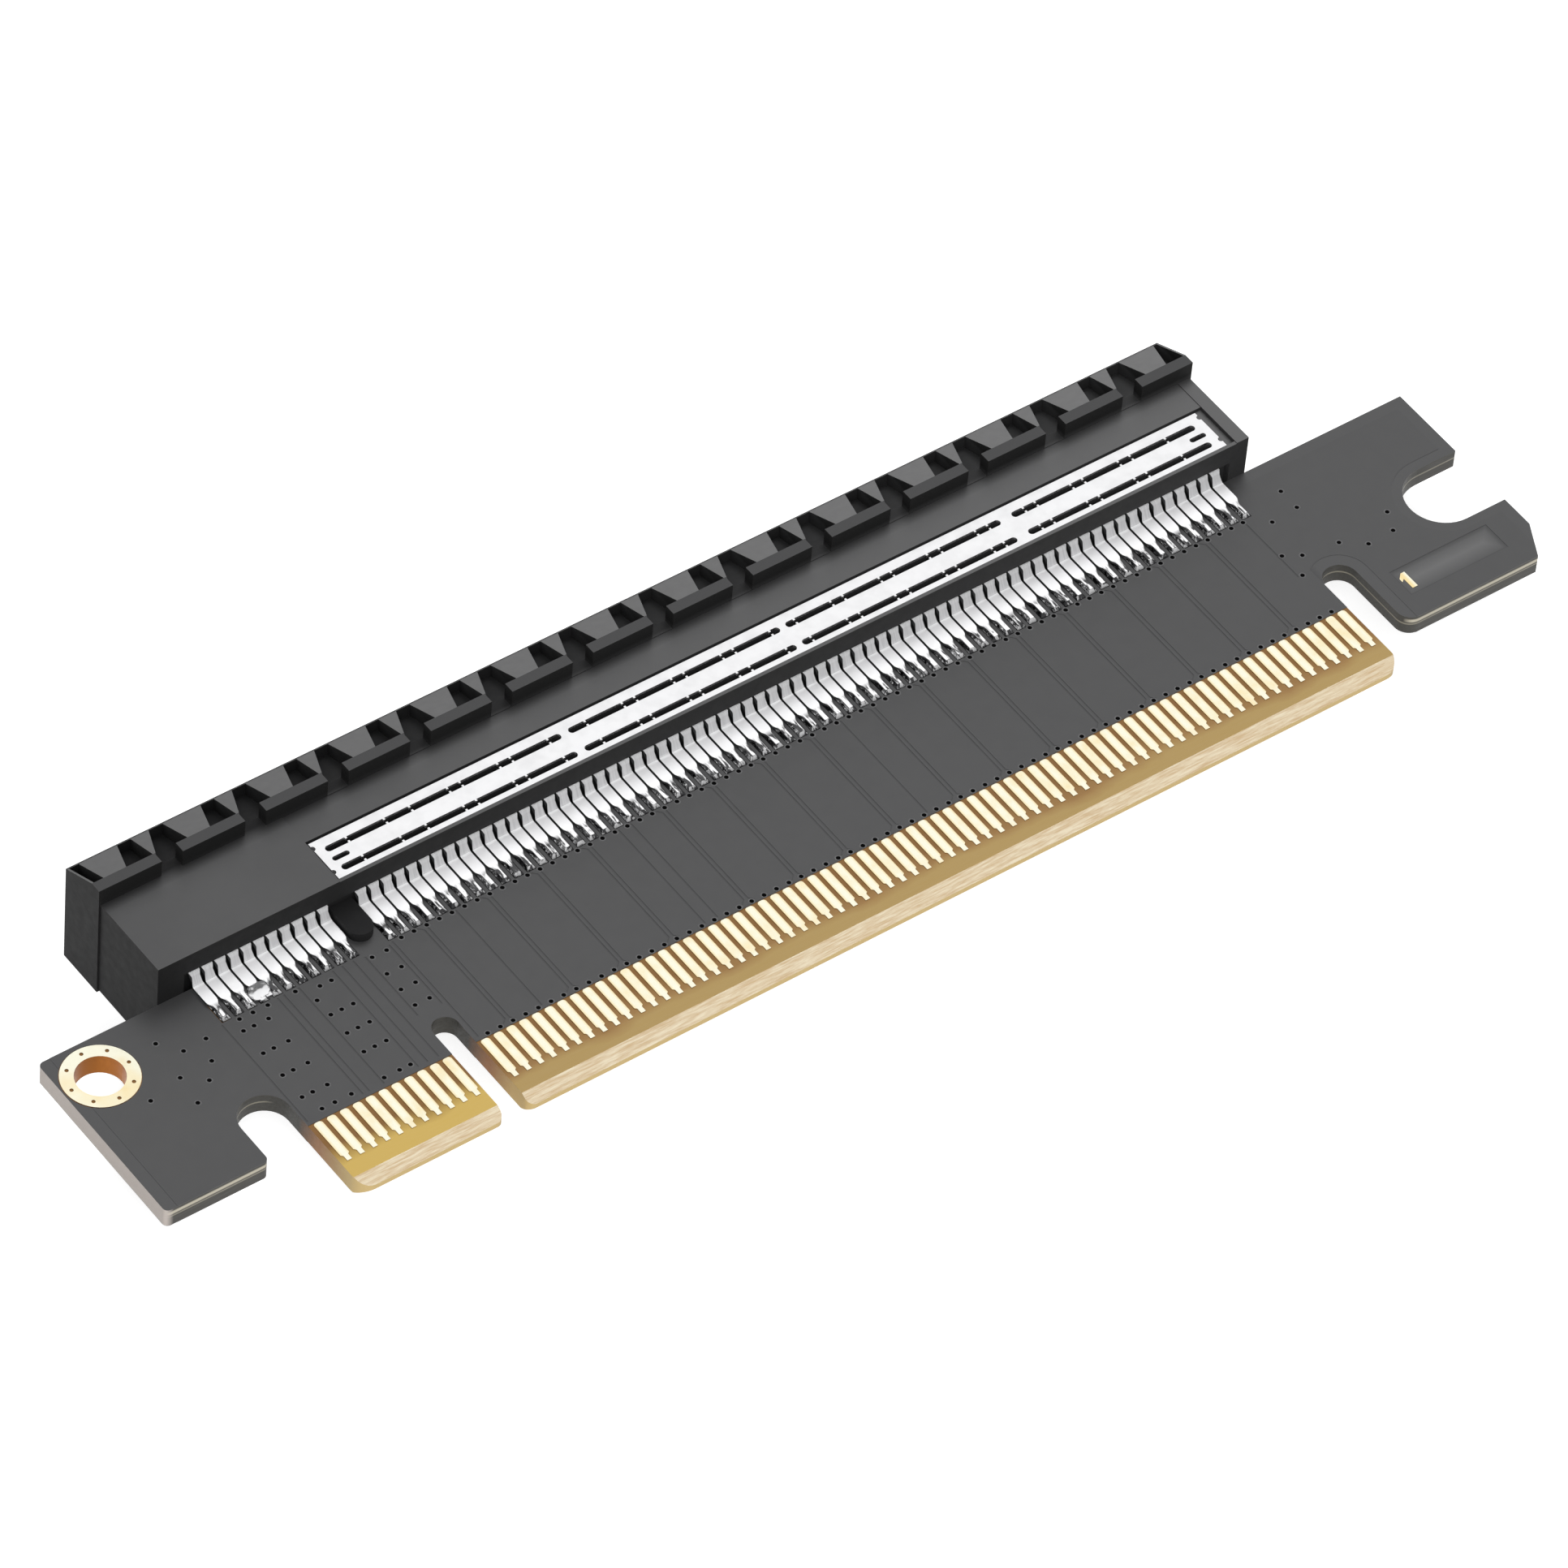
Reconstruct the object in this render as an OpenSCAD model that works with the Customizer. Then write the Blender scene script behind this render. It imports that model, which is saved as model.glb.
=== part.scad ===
// Riser card for a wide expansion slot: a bevelled card edge with gold fingers,
// a slot housing that straddles the far edge of the board, and a hook with a
// latch notch. X runs along the card edge, Y from the card edge to the slot
// mouth, Z out of the component side. The origin is the middle of the key notch
// at the card edge, halfway through the board.

/* [Circuit board] */
// Finished thickness of the board over both solder masks
board_t = 1.57; // [1.4:0.01:1.8]
// Thickness of each solder mask
mask_t = 0.04; // [0.02:0.01:0.06]
// Height of the board from the card edge to the slot housing
board_h = 19.7; // [18.8:0.1:23]
// Radius of the small outer corners
corner_r = 0.4; // [0.1:0.05:0.6]

/* [Card edge] */
// Distance from one finger to the next
pitch = 1; // [0.98:0.01:1.1]
// Fingers on the short side of the key
short_pins = 11; // [9:1:13]
// Fingers on the long side of the key
long_pins = 71; // [60:1:75]
// Distance from the middle of the key to the first finger on either side
key_to_pin = 1.5; // [1.5:0.05:1.8]
// Width of laminate outside the last finger's centre
tab_margin = 0.65; // [0.5:0.05:1]
// Width of the key notch
key_w = 1.9; // [1.7:0.05:2]
// Height of the key notch above the card edge
key_h = 9; // [7.5:0.1:10]
// Radius of the card edge's outer corners
tab_r = 1.2; // [0.5:0.05:1.3]
// Radius of the card edge's corners beside the key
key_corner_r = 0.6; // [0.3:0.05:0.9]
// Length of the bevel along the card
bevel_len = 0.9; // [0.3:0.05:1.3]
// Depth of the bevel into each face
bevel_depth = 0.54; // [0.2:0.01:0.6]

/* [Gold fingers] */
// Width of one finger
finger_w = 0.68; // [0.5:0.01:0.72]
// Height of the fingers' top ends above the card edge
finger_top = 5.95; // [5.2:0.05:6.4]
// Height of the fingers' narrow tips above the card edge
finger_tip = 2.23; // [1.4:0.01:2.7]
// Width of the narrow tip
tip_w = 0.38; // [0.25:0.01:0.45]
// Length of the narrow tip
tip_len = 0.45; // [0.3:0.01:0.7]
// Length of the slope from the tip to the full width
tip_slope = 0.12; // [0.05:0.01:0.2]
// Radius of the finger's top corners
finger_r = 0.24; // [0.1:0.01:0.3]
// Thickness of fingers, lands and rings
copper_t = 0.06; // [0.05:0.01:0.1]

/* [Mask relief] */
// Depth of the relief where no copper lies under the solder mask
relief_d = 0.02; // [0.01:0.005:0.03]
// Width of a groove between two copper areas
groove_w = 0.12; // [0.08:0.01:0.16]
// Distance between the two grooves of a pair of traces
pair_gap = 0.32; // [0.25:0.01:0.4]
// Distance of a pair from the contact that it runs to
pair_shift = 0.27; // [0.2:0.01:0.35]
// Reach of the forks at a pair's ends, along and across the card
fork_len = 0.3; // [0.2:0.05:0.35]
// Distance from the fingers and from the lands to the grooves' ends
groove_in = 0.35; // [0.3:0.05:0.6]
// Width of the bare border round the ears' copper
border_w = 0.9; // [0.7:0.05:1]
// Width of the bare border round the latch notch
notch_border = 0.75; // [0.6:0.05:0.9]
// Radius of the openings over the vias
via_r = 0.12; // [0.09:0.01:0.13]
// Distance from the fingers' upper ends to the row of vias
finger_via_gap = 0.28; // [0.24:0.01:0.3]
// Distance from the lands' lower ends to the row of vias
land_via_gap = 0.22; // [0.2:0.01:0.25]
// Length of the sunk field on the hook
field_len = 8.3; // [7.5:0.1:8.8]
// Width of the sunk field
field_w = 2.44; // [2:0.02:2.6]
// Distance of the sunk field from the hook's two inner edges
field_in = 1.8; // [1.6:0.05:2]

/* [Ears and hook] */
// Width of the slot beside the short end of the card edge
near_slot_w = 3.69; // [3:0.05:4.2]
// Height of that slot above the card edge
near_slot_h = 9.97; // [8:0.01:10.8]
// Width of the ear with the mounting hole
ear_w = 7.91; // [7.2:0.01:9]
// Height of the ear's lower edge above the card edge
ear_rise = 4.95; // [3.5:0.05:6]
// Width of the slot beside the long end of the card edge
far_slot_w = 2.57; // [2.2:0.05:3]
// Height of that slot above the card edge
far_slot_h = 9.6; // [8:0.05:10.4]
// Width of the hook
hook_w = 12.68; // [12:0.05:14]
// Height of the hook's lower edge above the card edge
hook_rise = 2.75; // [1.5:0.05:3.3]
// Radius of the hook's lower inner corner
hook_r = 1.1; // [0.6:0.05:1.3]
// Width of the hook's chamfer
hook_cut_w = 1.4; // [0.8:0.05:2]
// Height of the hook's chamfer
hook_cut_h = 2.7; // [1.5:0.05:3.4]
// Width of the latch notch
notch_w = 5.42; // [5:0.02:6]
// Depth of the latch notch from the end of the board
notch_d = 6; // [5:0.05:7]
// Height of the latch notch's middle above the card edge
notch_y = 10.86; // [10:0.01:11.5]

/* [Mounting hole] */
// Radius inside the plated hole
hole_r = 1.7; // [1.5:0.05:1.9]
// Distance of the hole from the end of the board
hole_from_end = 2.8; // [2.75:0.05:3.6]
// Distance of the hole from the far edge of the board
hole_from_top = 3.03; // [2.9:0.05:3.6]
// Width of the gold ring round the hole
ring_w = 0.95; // [0.7:0.05:1]
// Thickness of the barrel's plating
plating_t = 0.05; // [0.03:0.01:0.08]
// Number of small stitching holes in the ring
stitch_n = 8; // [6:1:12]
// Radius of a stitching hole
stitch_r = 0.14; // [0.1:0.01:0.2]

/* [Slot housing] */
// Length of the housing
body_len = 88.8; // [88:0.1:91]
// Distance from the housing's end to the first contact
body_margin = 3.2; // [2.8:0.05:3.5]
// Thickness of the housing through the board's direction
body_h = 8.4; // [7.6:0.1:9.4]
// Depth of the housing from the board to its mouth
body_d = 10.5; // [10:0.1:12]
// How far the collar at the mouth stands proud of the ends and the back
collar_step = 0.15; // [0.05:0.01:0.25]
// Depth of the card slot from the mouth
slot_d = 8; // [7.2:0.1:8.6]
// Width of the card slot
slot_w = 1.75; // [1.65:0.01:1.95]
// Room beside the card at each end of the slot
slot_room = 0.15; // [0.05:0.01:0.3]
// Thickness of the key wall in the slot
key_wall = 1.72; // [1.5:0.01:1.8]
// Size of the chamfer round the slot's mouth
lead_in = 0.55; // [0.3:0.05:0.8]
// Width of one contact cavity
cavity_w = 0.62; // [0.56:0.01:0.7]
// Height of a contact cavity above the slot's middle
cavity_h = 2.3; // [2.15:0.05:2.6]
// Wall left between the cavities and the mouth
cavity_lip = 0.9; // [0.6:0.05:1.1]
// Depth of the trough that the tails leave from
trough_d = 0.5; // [0.3:0.05:0.7]
// Height of the trough on each side of the board's middle
trough_h = 2.5; // [2.3:0.05:2.8]
// Width of the locating peg at the key
peg_w = 1.8; // [1.5:0.05:1.85]
// Reach of the locating peg over the board
peg_reach = 2.72; // [2:0.05:3]
// Height of the locating peg above the board's middle
peg_h = 1.5; // [1.3:0.05:2.8]

/* [Housing ribs] */
// Distance from one rib to the next
rib_pitch = 6.5; // [6.3:0.05:6.8]
// Height of the ribs above the housing's top
rib_h = 1.4; // [1:0.05:1.7]
// Length of a rib's crest bar
bar_len = 4.85; // [4.4:0.05:5.2]
// Width of a rib's crest bar
bar_w = 0.85; // [0.6:0.05:1.1]
// Distance of the crest bar from the mouth
bar_from_mouth = 3.85; // [3.4:0.05:4.2]
// Where the broad ramp starts behind the bar's end
ramp_start = 0.9; // [0.7:0.05:1.1]
// Width of the broad ramp at the bar
ramp_top_w = 1.76; // [1.5:0.05:2]
// Width of the broad ramp at the mouth
ramp_foot_w = 3.03; // [2.7:0.05:3.2]
// Where the narrow ramp starts behind the bar's end
second_start = 4.93; // [4.9:0.01:5.05]
// Width of the narrow ramp at the mouth
second_foot_w = 1.46; // [1.2:0.02:1.5]
// Depth of the pockets at the mouth, below the housing's top
pocket_d = 1; // [0.5:0.05:1.2]
// Thickness of the rim that closes the pockets at the mouth and the ends
rim_t = 0.15; // [0.1:0.01:0.25]

/* [Ground plate] */
// Length of the plate
plate_len = 72.6; // [71:0.1:73.4]
// Width of the plate
plate_w = 3.63; // [3.4:0.01:3.8]
// Thickness of the plate
plate_t = 0.2; // [0.15:0.01:0.3]
// Distance from the plate's end to the first long contact
plate_from_pin = 1.75; // [1.6:0.05:1.9]
// How far the plate lies below the housing's top
plate_sink = 0.15; // [0.1:0.01:0.25]
// Lip left in front of the plate
lip_w = 0.28; // [0.2:0.01:0.4]
// Room round the plate at its back and its end near the key
plate_room = 0.16; // [0.08:0.01:0.25]
// Room beside the plate at its far end
plate_far_room = 0.6; // [0.2:0.05:0.8]
// Depth of the shallow step in the housing's top round the plate
panel_step = 0.06; // [0.03:0.01:0.1]
// Width of the long slots
vent_w = 0.52; // [0.4:0.01:0.6]
// Distance of the front row of slots from the plate's front
vent_front = 0.73; // [0.6:0.01:0.85]
// Distance of the back row of slots from the plate's back
vent_back = 1.02; // [0.85:0.01:1.1]
// Length of the short slot at each end
short_vent_len = 1.3; // [1:0.05:1.5]
// Distance of the short slot from the plate's end
short_vent_in = 0.6; // [0.5:0.05:0.8]
// Depth of the grooves that the housing has under the slots
vent_groove = 0.5; // [0.3:0.05:0.7]
// Width of the paired nibs in the slots
nib_w = 0.16; // [0.1:0.01:0.25]
// How far each nib reaches into its slot
nib_reach = 0.15; // [0.1:0.01:0.2]
// Distance of a nib from its contact's middle
nib_shift = 0.35; // [0.2:0.01:0.45]
// Radius of the bites in the plate's ends
bite_r = 0.2; // [0.12:0.01:0.25]

/* [Contacts] */
// Thickness of the contact strip
strip_t = 0.2; // [0.15:0.01:0.22]
// Width of the strip inside the housing
strip_w = 0.5; // [0.4:0.01:0.52]
// Width of the flat part of the tail
tail_w = 0.84; // [0.8:0.01:0.92]
// Width of the tail at its waist between the bends
waist_w = 0.62; // [0.52:0.01:0.8]
// Gap between the tail's shoulder and the wall that it goes through
shoulder_gap = 0.05; // [0.03:0.01:0.1]
// Width of the soldered foot
foot_w = 0.38; // [0.3:0.01:0.44]
// Length of the soldered foot
foot_len = 0.85; // [0.5:0.05:0.9]
// Length of the slope from the foot to the flat part
neck_len = 0.75; // [0.3:0.05:0.8]
// Length of the tail over the board
tail_reach = 3.25; // [2.9:0.05:3.4]
// Height of the strip where it leaves the housing, above the board's middle
exit_z = 1.9; // [1.8:0.05:2]
// How far the tail leans back between its bends
lean = 0.4; // [0.3:0.02:0.46]
// Gap between the unmated contact points and the slot's middle
point_gap = 0.45; // [0.35:0.05:0.6]
// Distance of the contact points from the mouth
point_from_mouth = 2.4; // [2:0.1:3]
// Length of the lead-in end beyond the contact point
end_len = 1.05; // [0.8:0.05:1.2]
// Rise of the lead-in end
end_rise = 0.6; // [0.4:0.05:0.8]

/* [Solder] */
// Thickness of solder under the tails
solder_t = 0.05; // [0.03:0.01:0.08]
// Width of a land on the board
land_w = 0.66; // [0.6:0.01:0.72]
// Reach of the land beyond the foot
land_over = 0.22; // [0.15:0.01:0.35]
// Gap between a land and the solder mask round it
mask_gap = 0.05; // [0.03:0.01:0.08]
// Height of the solder fillets beside the foot
fillet_h = 0.16; // [0.1:0.01:0.2]

/* [Hidden] */
$fn = 48;
cut = 1;
small_fn = 16;

// Contact positions along the card
function short_x(i) = -key_to_pin - (short_pins - 1 - i) * pitch;
function long_x(i) = key_to_pin + i * pitch;
short_places = [for (i = [0 : short_pins - 1]) short_x(i)];
long_places = [for (i = [0 : long_pins - 1]) long_x(i)];
all_places = concat(short_places, long_places);

// Edges of the card and the board
tab_x0 = short_x(0) - tab_margin;
tab_x1 = long_x(long_pins - 1) + tab_margin;
ear_x1 = tab_x0 - near_slot_w;
board_x0 = ear_x1 - ear_w;
hook_x0 = tab_x1 + far_slot_w;
board_x1 = hook_x0 + hook_w;
half_t = board_t / 2;
core_half_t = half_t - mask_t;
hole_x = board_x0 + hole_from_end;
hole_y = board_h - hole_from_top;
barrel_r = hole_r + plating_t;
ring_r = hole_r + ring_w;

// Planes of the housing
body_x0 = short_x(0) - body_margin;
body_x1 = body_x0 + body_len;
body_y0 = board_h;
body_y1 = body_y0 + body_d;
body_top = body_h / 2;
bar_y0 = body_y1 - bar_from_mouth;
bar_y1 = bar_y0 + bar_w;
rib_n = ceil(body_len / rib_pitch);
slot_y0 = body_y1 - slot_d;
cavity_y1 = body_y1 - cavity_lip;
trough_y1 = body_y0 + trough_d;
trough_x0 = short_x(0) - pitch;
trough_x1 = long_x(long_pins - 1) + pitch;

// Planes of the plate
plate_x0 = long_x(0) - plate_from_pin;
plate_y0 = body_y0 + lip_w;
plate_z0 = body_top - plate_sink - plate_t;
front_vent_y = vent_front;
back_vent_y = plate_w - vent_back;
middle_vent_y = (front_vent_y + back_vent_y) / 2;
// Ends of the long slots as shares of the plate's length
vent_end_shares = [[0.0095, 0.2665], [0.2755, 0.5110], [0.5185, 0.7625], [0.7765, 0.9885]];
// Places of single grooves, in pitches from the first contact of the short and the long side
short_groove_shares = [-0.5, 3.8, 4.3, 5.45, 8.1, 8.85, 9.7];
long_groove_shares = [-0.2, 4.8, 17.8, 18.8, 35.8];
// Contacts of the long side that a pair of traces runs to, counted from the key
pair_pins = [2, 7, 11, 15, 21, 25, 29, 33, 38, 42, 46, 50, 54, 58, 62, 66];
// Groups of vias: columns in pitches from the first short contact, rows from fingers to lands
via_group_shares = [
    [[0.92, 1.92, 3.2, 5.75, 6.95, 7.8], [0.075]],
    [[0.75, 1.8, 2.95, 5.1], [0.965]],
    [[0.4, 1.22, 2.35], [0.22, 0.435, 0.65, 0.87]],
    [[5.9, 6.75, 7.65], [0.32, 0.505, 0.685]],
    [[5.85], [0.83]],
    [[6.7, 7.6], [0.92]],
    [[10.93, 12.07], [0.465, 0.62, 0.775, 0.94]]];
// Vias on the ear with the hole and on the ear with the hook, as shares of its width and height
hole_ear_via_shares = [[0.63, 0.865], [0.73, 0.79], [0.885, 0.795], [0.605, 0.7], [0.82, 0.705],
                       [0.73, 0.64], [0.585, 0.58], [0.375, 0.67]];
hook_ear_via_shares = [[0.23, 0.86], [0.23, 0.77], [0.09, 0.76], [0.535, 0.585], [0.49, 0.505],
                       [0.355, 0.5], [0.255, 0.56], [0.08, 0.58], [0.01, 0.505], [0.005, 0.615]];
// Plan of the tail's neck as shares of its widening and its length
neck_shares = [[0, 0], [0.15, 0.3], [0.85, 0.7], [1, 1]];
// Contacts of the long side that the plate joins, counted from the key
ground_pins = [1, 4, 6, 9, 10, 13, 14, 17, 20, 23, 24, 27, 28, 31, 32, 35, 37, 40, 41, 44,
               45, 48, 49, 52, 53, 56, 57, 60, 61, 64, 65, 68];

// Heights of the tail
tail_z = core_half_t + copper_t + solder_t + strip_t / 2;
tail_y0 = body_y0 - tail_reach;
exit_y = trough_y1 - strip_t;
land_y0 = tail_y0 - land_over;
land_y1 = body_y0 - mask_gap;

// A box between two corners
module box(a, b) translate(a) cube(b - a);

// A profile in Y and Z, pushed along X between two planes
module along_x(x0, x1) translate([x0, 0, 0]) rotate([90, 0, 90]) linear_extrude(x1 - x0) children();

// A flat rectangle between two corners
module flat(a, b) translate(a) square(b - a);

// What a round takes off a corner that points along sx and sy
module corner_off(at, r, sx, sy) {
    translate(at) scale([sx, sy]) difference() {
        translate([-cut, -cut]) square(r + cut);
        translate([r, r]) circle(r);
    }
}

// An upright slot with a round upper end
module round_slot(x0, x1, y1) {
    r = (x1 - x0) / 2;
    flat([x0, -cut], [x1, y1 - r]);
    translate([x0 + r, y1 - r]) circle(r);
}

// A lying slot with two round ends
module long_slot(x0, x1, y, w) {
    flat([x0 + w / 2, y - w / 2], [x1 - w / 2, y + w / 2]);
    for (x = [x0 + w / 2, x1 - w / 2]) translate([x, y]) circle(w / 2, $fn = small_fn);
}

// Outline of the board
module board_outline() {
    difference() {
        flat([board_x0, 0], [board_x1, board_h]);
        flat([board_x0 - cut, -cut], [ear_x1, ear_rise]);
        flat([hook_x0, -cut], [board_x1 + cut, hook_rise]);
        round_slot(ear_x1, tab_x0, near_slot_h);
        round_slot(-key_w / 2, key_w / 2, key_h);
        round_slot(tab_x1, hook_x0, far_slot_h);
        translate([board_x1 - notch_d + notch_w / 2, notch_y]) circle(notch_w / 2);
        flat([board_x1 - notch_d + notch_w / 2, notch_y - notch_w / 2],
             [board_x1 + cut, notch_y + notch_w / 2]);
        polygon([[board_x1 - hook_cut_w, hook_rise], [board_x1 + cut, hook_rise],
                 [board_x1, hook_rise + hook_cut_h]]);
        corner_off([board_x0, board_h], corner_r, 1, -1);
        corner_off([board_x0, ear_rise], corner_r, 1, 1);
        corner_off([ear_x1, ear_rise], corner_r, -1, 1);
        corner_off([tab_x0, 0], tab_r, 1, 1);
        corner_off([-key_w / 2, 0], key_corner_r, -1, 1);
        corner_off([key_w / 2, 0], key_corner_r, 1, 1);
        corner_off([tab_x1, 0], tab_r, -1, 1);
        corner_off([hook_x0, hook_rise], hook_r, 1, 1);
    }
}

// Laminate of the board, with its bevelled card edge
module circuit_board() {
    bevel = [[-cut, core_half_t - bevel_depth], [0, core_half_t - bevel_depth],
             [bevel_len, core_half_t], [bevel_len, core_half_t + cut], [-cut, core_half_t + cut]];
    color("goldenrod") difference() {
        translate([0, 0, -core_half_t]) linear_extrude(2 * core_half_t) board_outline();
        along_x(tab_x0 - cut, tab_x1 + cut) polygon(bevel);
        along_x(tab_x0 - cut, tab_x1 + cut) mirror([0, 1]) polygon(bevel);
        translate([hole_x, hole_y, -half_t]) cylinder(r = barrel_r, h = board_t);
    }
}

// Places of the vias
function via_places() = concat(
    [for (i = [0 : long_pins - 2], y = [finger_top + finger_via_gap, land_y0 - land_via_gap])
        [long_x(i) + pitch / 2, y]],
    [for (group = via_group_shares, column = group[0], row = group[1])
        [short_x(0) + column * pitch, finger_top + row * (land_y0 - finger_top)]],
    [for (s = hole_ear_via_shares) [board_x0 + s[0] * (tab_x0 - board_x0), s[1] * board_h]],
    [for (s = hook_ear_via_shares)
        [tab_x1 - border_w + s[0] * (board_x1 - tab_x1 + border_w), s[1] * board_h]]);

// A groove in plan along one trace, which forks to one side at both ends
module groove(x, fork) {
    w = groove_w / 2;
    f = fork * fork_len;
    y0 = finger_top + groove_in;
    y1 = land_y0 - groove_in + fork_len / 2;
    polygon([[x + f - w, y0], [x + f + w, y0], [x + w, y0 + fork_len], [x + w, y1 - fork_len],
             [x + f + w, y1], [x + f - w, y1], [x - w, y1 - fork_len], [x - w, y0 + fork_len]]);
}

// Copper area of the ear with the hook, inside its bare borders
module ear_copper() {
    notch_x = board_x1 - notch_d + notch_w / 2;
    r = notch_w / 2 + notch_border;
    difference() {
        flat([tab_x1, -cut], [board_x1 - border_w, board_h - border_w]);
        round_slot(tab_x1 - border_w, hook_x0 + border_w, far_slot_h + border_w);
        translate([notch_x, notch_y]) circle(r);
        flat([notch_x, notch_y - r], [board_x1 + cut, notch_y + r]);
    }
}

// Plan of what lies lower on the solder mask, because no copper lies under it
module relief_plan() {
    for (pin = pair_pins, side = [-1, 1])
        groove(long_x(pin) + pair_shift + side * pair_gap / 2, side);
    for (share = short_groove_shares) groove(short_x(0) + share * pitch, 0);
    for (share = long_groove_shares) groove(long_x(0) + share * pitch, 0);
    for (side = [-1, 1])
        translate([side * key_w / 2 - groove_w / 2, key_h + border_w])
            square([groove_w, land_y0 - groove_in - key_h - border_w]);
    flat([tab_x1 - border_w - 2 * groove_w, far_slot_h + groove_in],
         [tab_x1 - border_w - groove_w, land_y0 - groove_in]);
    flat([board_x0 - cut, ear_rise - cut], [board_x0 + border_w, board_h + cut]);
    difference() {
        flat([tab_x1, hook_rise - cut], [board_x1 + cut, board_h + cut]);
        ear_copper();
    }
    translate([hook_x0 + field_in, hook_rise + field_in]) square([field_len, field_w]);
}

// Solder mask on the component side, open at the fingers, the ring, the vias and the lands
module solder_mask() {
    color("dimgray") difference() {
        translate([0, 0, core_half_t]) linear_extrude(mask_t) difference() {
            board_outline();
            flat([tab_x0 - cut, -cut], [tab_x1 + cut, finger_top + mask_gap]);
            translate([hole_x, hole_y]) circle(ring_r + mask_gap);
            for (at = via_places()) translate(at) circle(via_r, $fn = small_fn);
            for (x = all_places)
                flat([x - land_w / 2 - mask_gap, land_y0 - mask_gap],
                     [x + land_w / 2 + mask_gap, board_h + cut]);
        }
        translate([0, 0, half_t - relief_d]) linear_extrude(relief_d + cut) relief_plan();
    }
}

// One gold finger with its narrow tip
module finger() {
    w = finger_w / 2;
    n = tip_w / 2;
    shoulder = finger_tip + tip_len;
    difference() {
        polygon([[-n, finger_tip], [n, finger_tip], [n, shoulder], [w, shoulder + tip_slope],
                 [w, finger_top], [-w, finger_top], [-w, shoulder + tip_slope], [-n, shoulder]]);
        corner_off([-w, finger_top], finger_r, 1, -1);
        corner_off([w, finger_top], finger_r, -1, -1);
    }
}

// Gold fingers on the component side
module edge_fingers() {
    color("gold") translate([0, 0, core_half_t]) linear_extrude(copper_t)
        for (x = all_places) translate([x, 0]) finger();
}

// Plated barrel of the mounting hole with a stitched ring on each face
module barrel_plating() {
    color("gold") translate([hole_x, hole_y, 0]) difference() {
        union() {
            cylinder(r = barrel_r, h = 2 * (core_half_t + copper_t), center = true);
            for (side = [0, 1]) mirror([0, 0, side])
                translate([0, 0, core_half_t]) cylinder(r = ring_r, h = copper_t);
        }
        cylinder(r = hole_r, h = 2 * (core_half_t + copper_t + cut), center = true);
        for (i = [0 : stitch_n - 1]) rotate(i * 360 / stitch_n)
            translate([(barrel_r + ring_r) / 2, 0, 0])
                cylinder(r = stitch_r, h = 2 * (core_half_t + copper_t + cut), center = true,
                         $fn = small_fn);
    }
}

// Copper lands under the tails on the component side
module contact_lands() {
    color("silver") for (x = all_places)
        box([x - land_w / 2, land_y0, core_half_t], [x + land_w / 2, land_y1, core_half_t + copper_t]);
}

// Solder under one tail, drawn up in fillets beside and before its foot
module solder_joint() {
    z0 = core_half_t + copper_t;
    z1 = z0 + solder_t;
    toe = land_over - mask_gap;
    color("silver") {
        difference() {
            translate([0, tail_y0 + foot_len, 0]) rotate([90, 0, 0]) linear_extrude(foot_len + toe)
                polygon([[-land_w / 2, z0], [land_w / 2, z0], [foot_w / 2, z1 + fillet_h],
                         [-foot_w / 2, z1 + fillet_h]]);
            along_x(-land_w, land_w)
                polygon([[tail_y0 - toe - cut, z0], [tail_y0 - toe, z0], [tail_y0, z1 + fillet_h],
                         [tail_y0, z1 + cut], [tail_y0 - toe - cut, z1 + cut]]);
            box([-foot_w / 2, tail_y0, z1], [foot_w / 2, tail_y0 + foot_len + cut, z1 + strip_t + cut]);
        }
        box([-land_w / 2, tail_y0 + foot_len, z0], [land_w / 2, land_y1 - mask_gap, z1]);
    }
}

// Solder joints on the component side
module solder_joints() for (x = all_places) translate([x, 0, 0]) solder_joint();

// Normal of the step from p to q
function normal(p, q) = [p[1] - q[1], q[0] - p[0]] / norm(q - p);
// Offset of a path's corner i by d, square to both of its steps
function offset_at(path, i, d) =
    let (a = normal(path[max(i - 1, 0)], path[max(i, 1)]),
         b = normal(path[min(i, len(path) - 2)], path[min(i + 1, len(path) - 1)]),
         m = a + b)
    path[i] + m * (2 * d / (m * m));
// Outline of a strip of thickness t along a path
function strip(path, t) = concat(
    [for (i = [0 : len(path) - 1]) offset_at(path, i, t / 2)],
    [for (i = [len(path) - 1 : -1 : 0]) offset_at(path, i, -t / 2)]);
// Three points round the corner b of a path, each length l away at most
function rounded(a, b, c, l) =
    let (p = b + (a - b) * (l / norm(a - b)), q = b + (c - b) * (l / norm(c - b)))
    [p, (p + 2 * b + q) / 4, q];

// Side view of an upper contact, from the foot to the lead-in end
function contact_path() =
    let (knee = [exit_y - lean, tail_z], top = [exit_y, exit_z],
         hip = [slot_y0, exit_z], point = [body_y1 - point_from_mouth, point_gap + strip_t / 2],
         last = [point[0] + end_len, point[1] + end_rise])
    concat([[tail_y0, tail_z]], rounded([tail_y0, tail_z], knee, top, strip_t),
           rounded(knee, top, hip, strip_t), [hip],
           rounded(hip, point, last, strip_t), [last]);

// Half of the plan of a contact, from the foot to the lead-in end
function contact_half_plan() = concat(
    [[foot_w / 2, tail_y0 - cut]],
    [for (s = neck_shares)
        [foot_w / 2 + s[0] * (tail_w - foot_w) / 2, tail_y0 + foot_len + s[1] * neck_len]],
    [[tail_w / 2, exit_y - lean - strip_t / 2], [waist_w / 2, exit_y - lean / 2],
     [tail_w / 2, exit_y], [tail_w / 2, trough_y1 - shoulder_gap],
     [strip_w / 2, trough_y1 - shoulder_gap], [strip_w / 2, body_y1]]);

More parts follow.
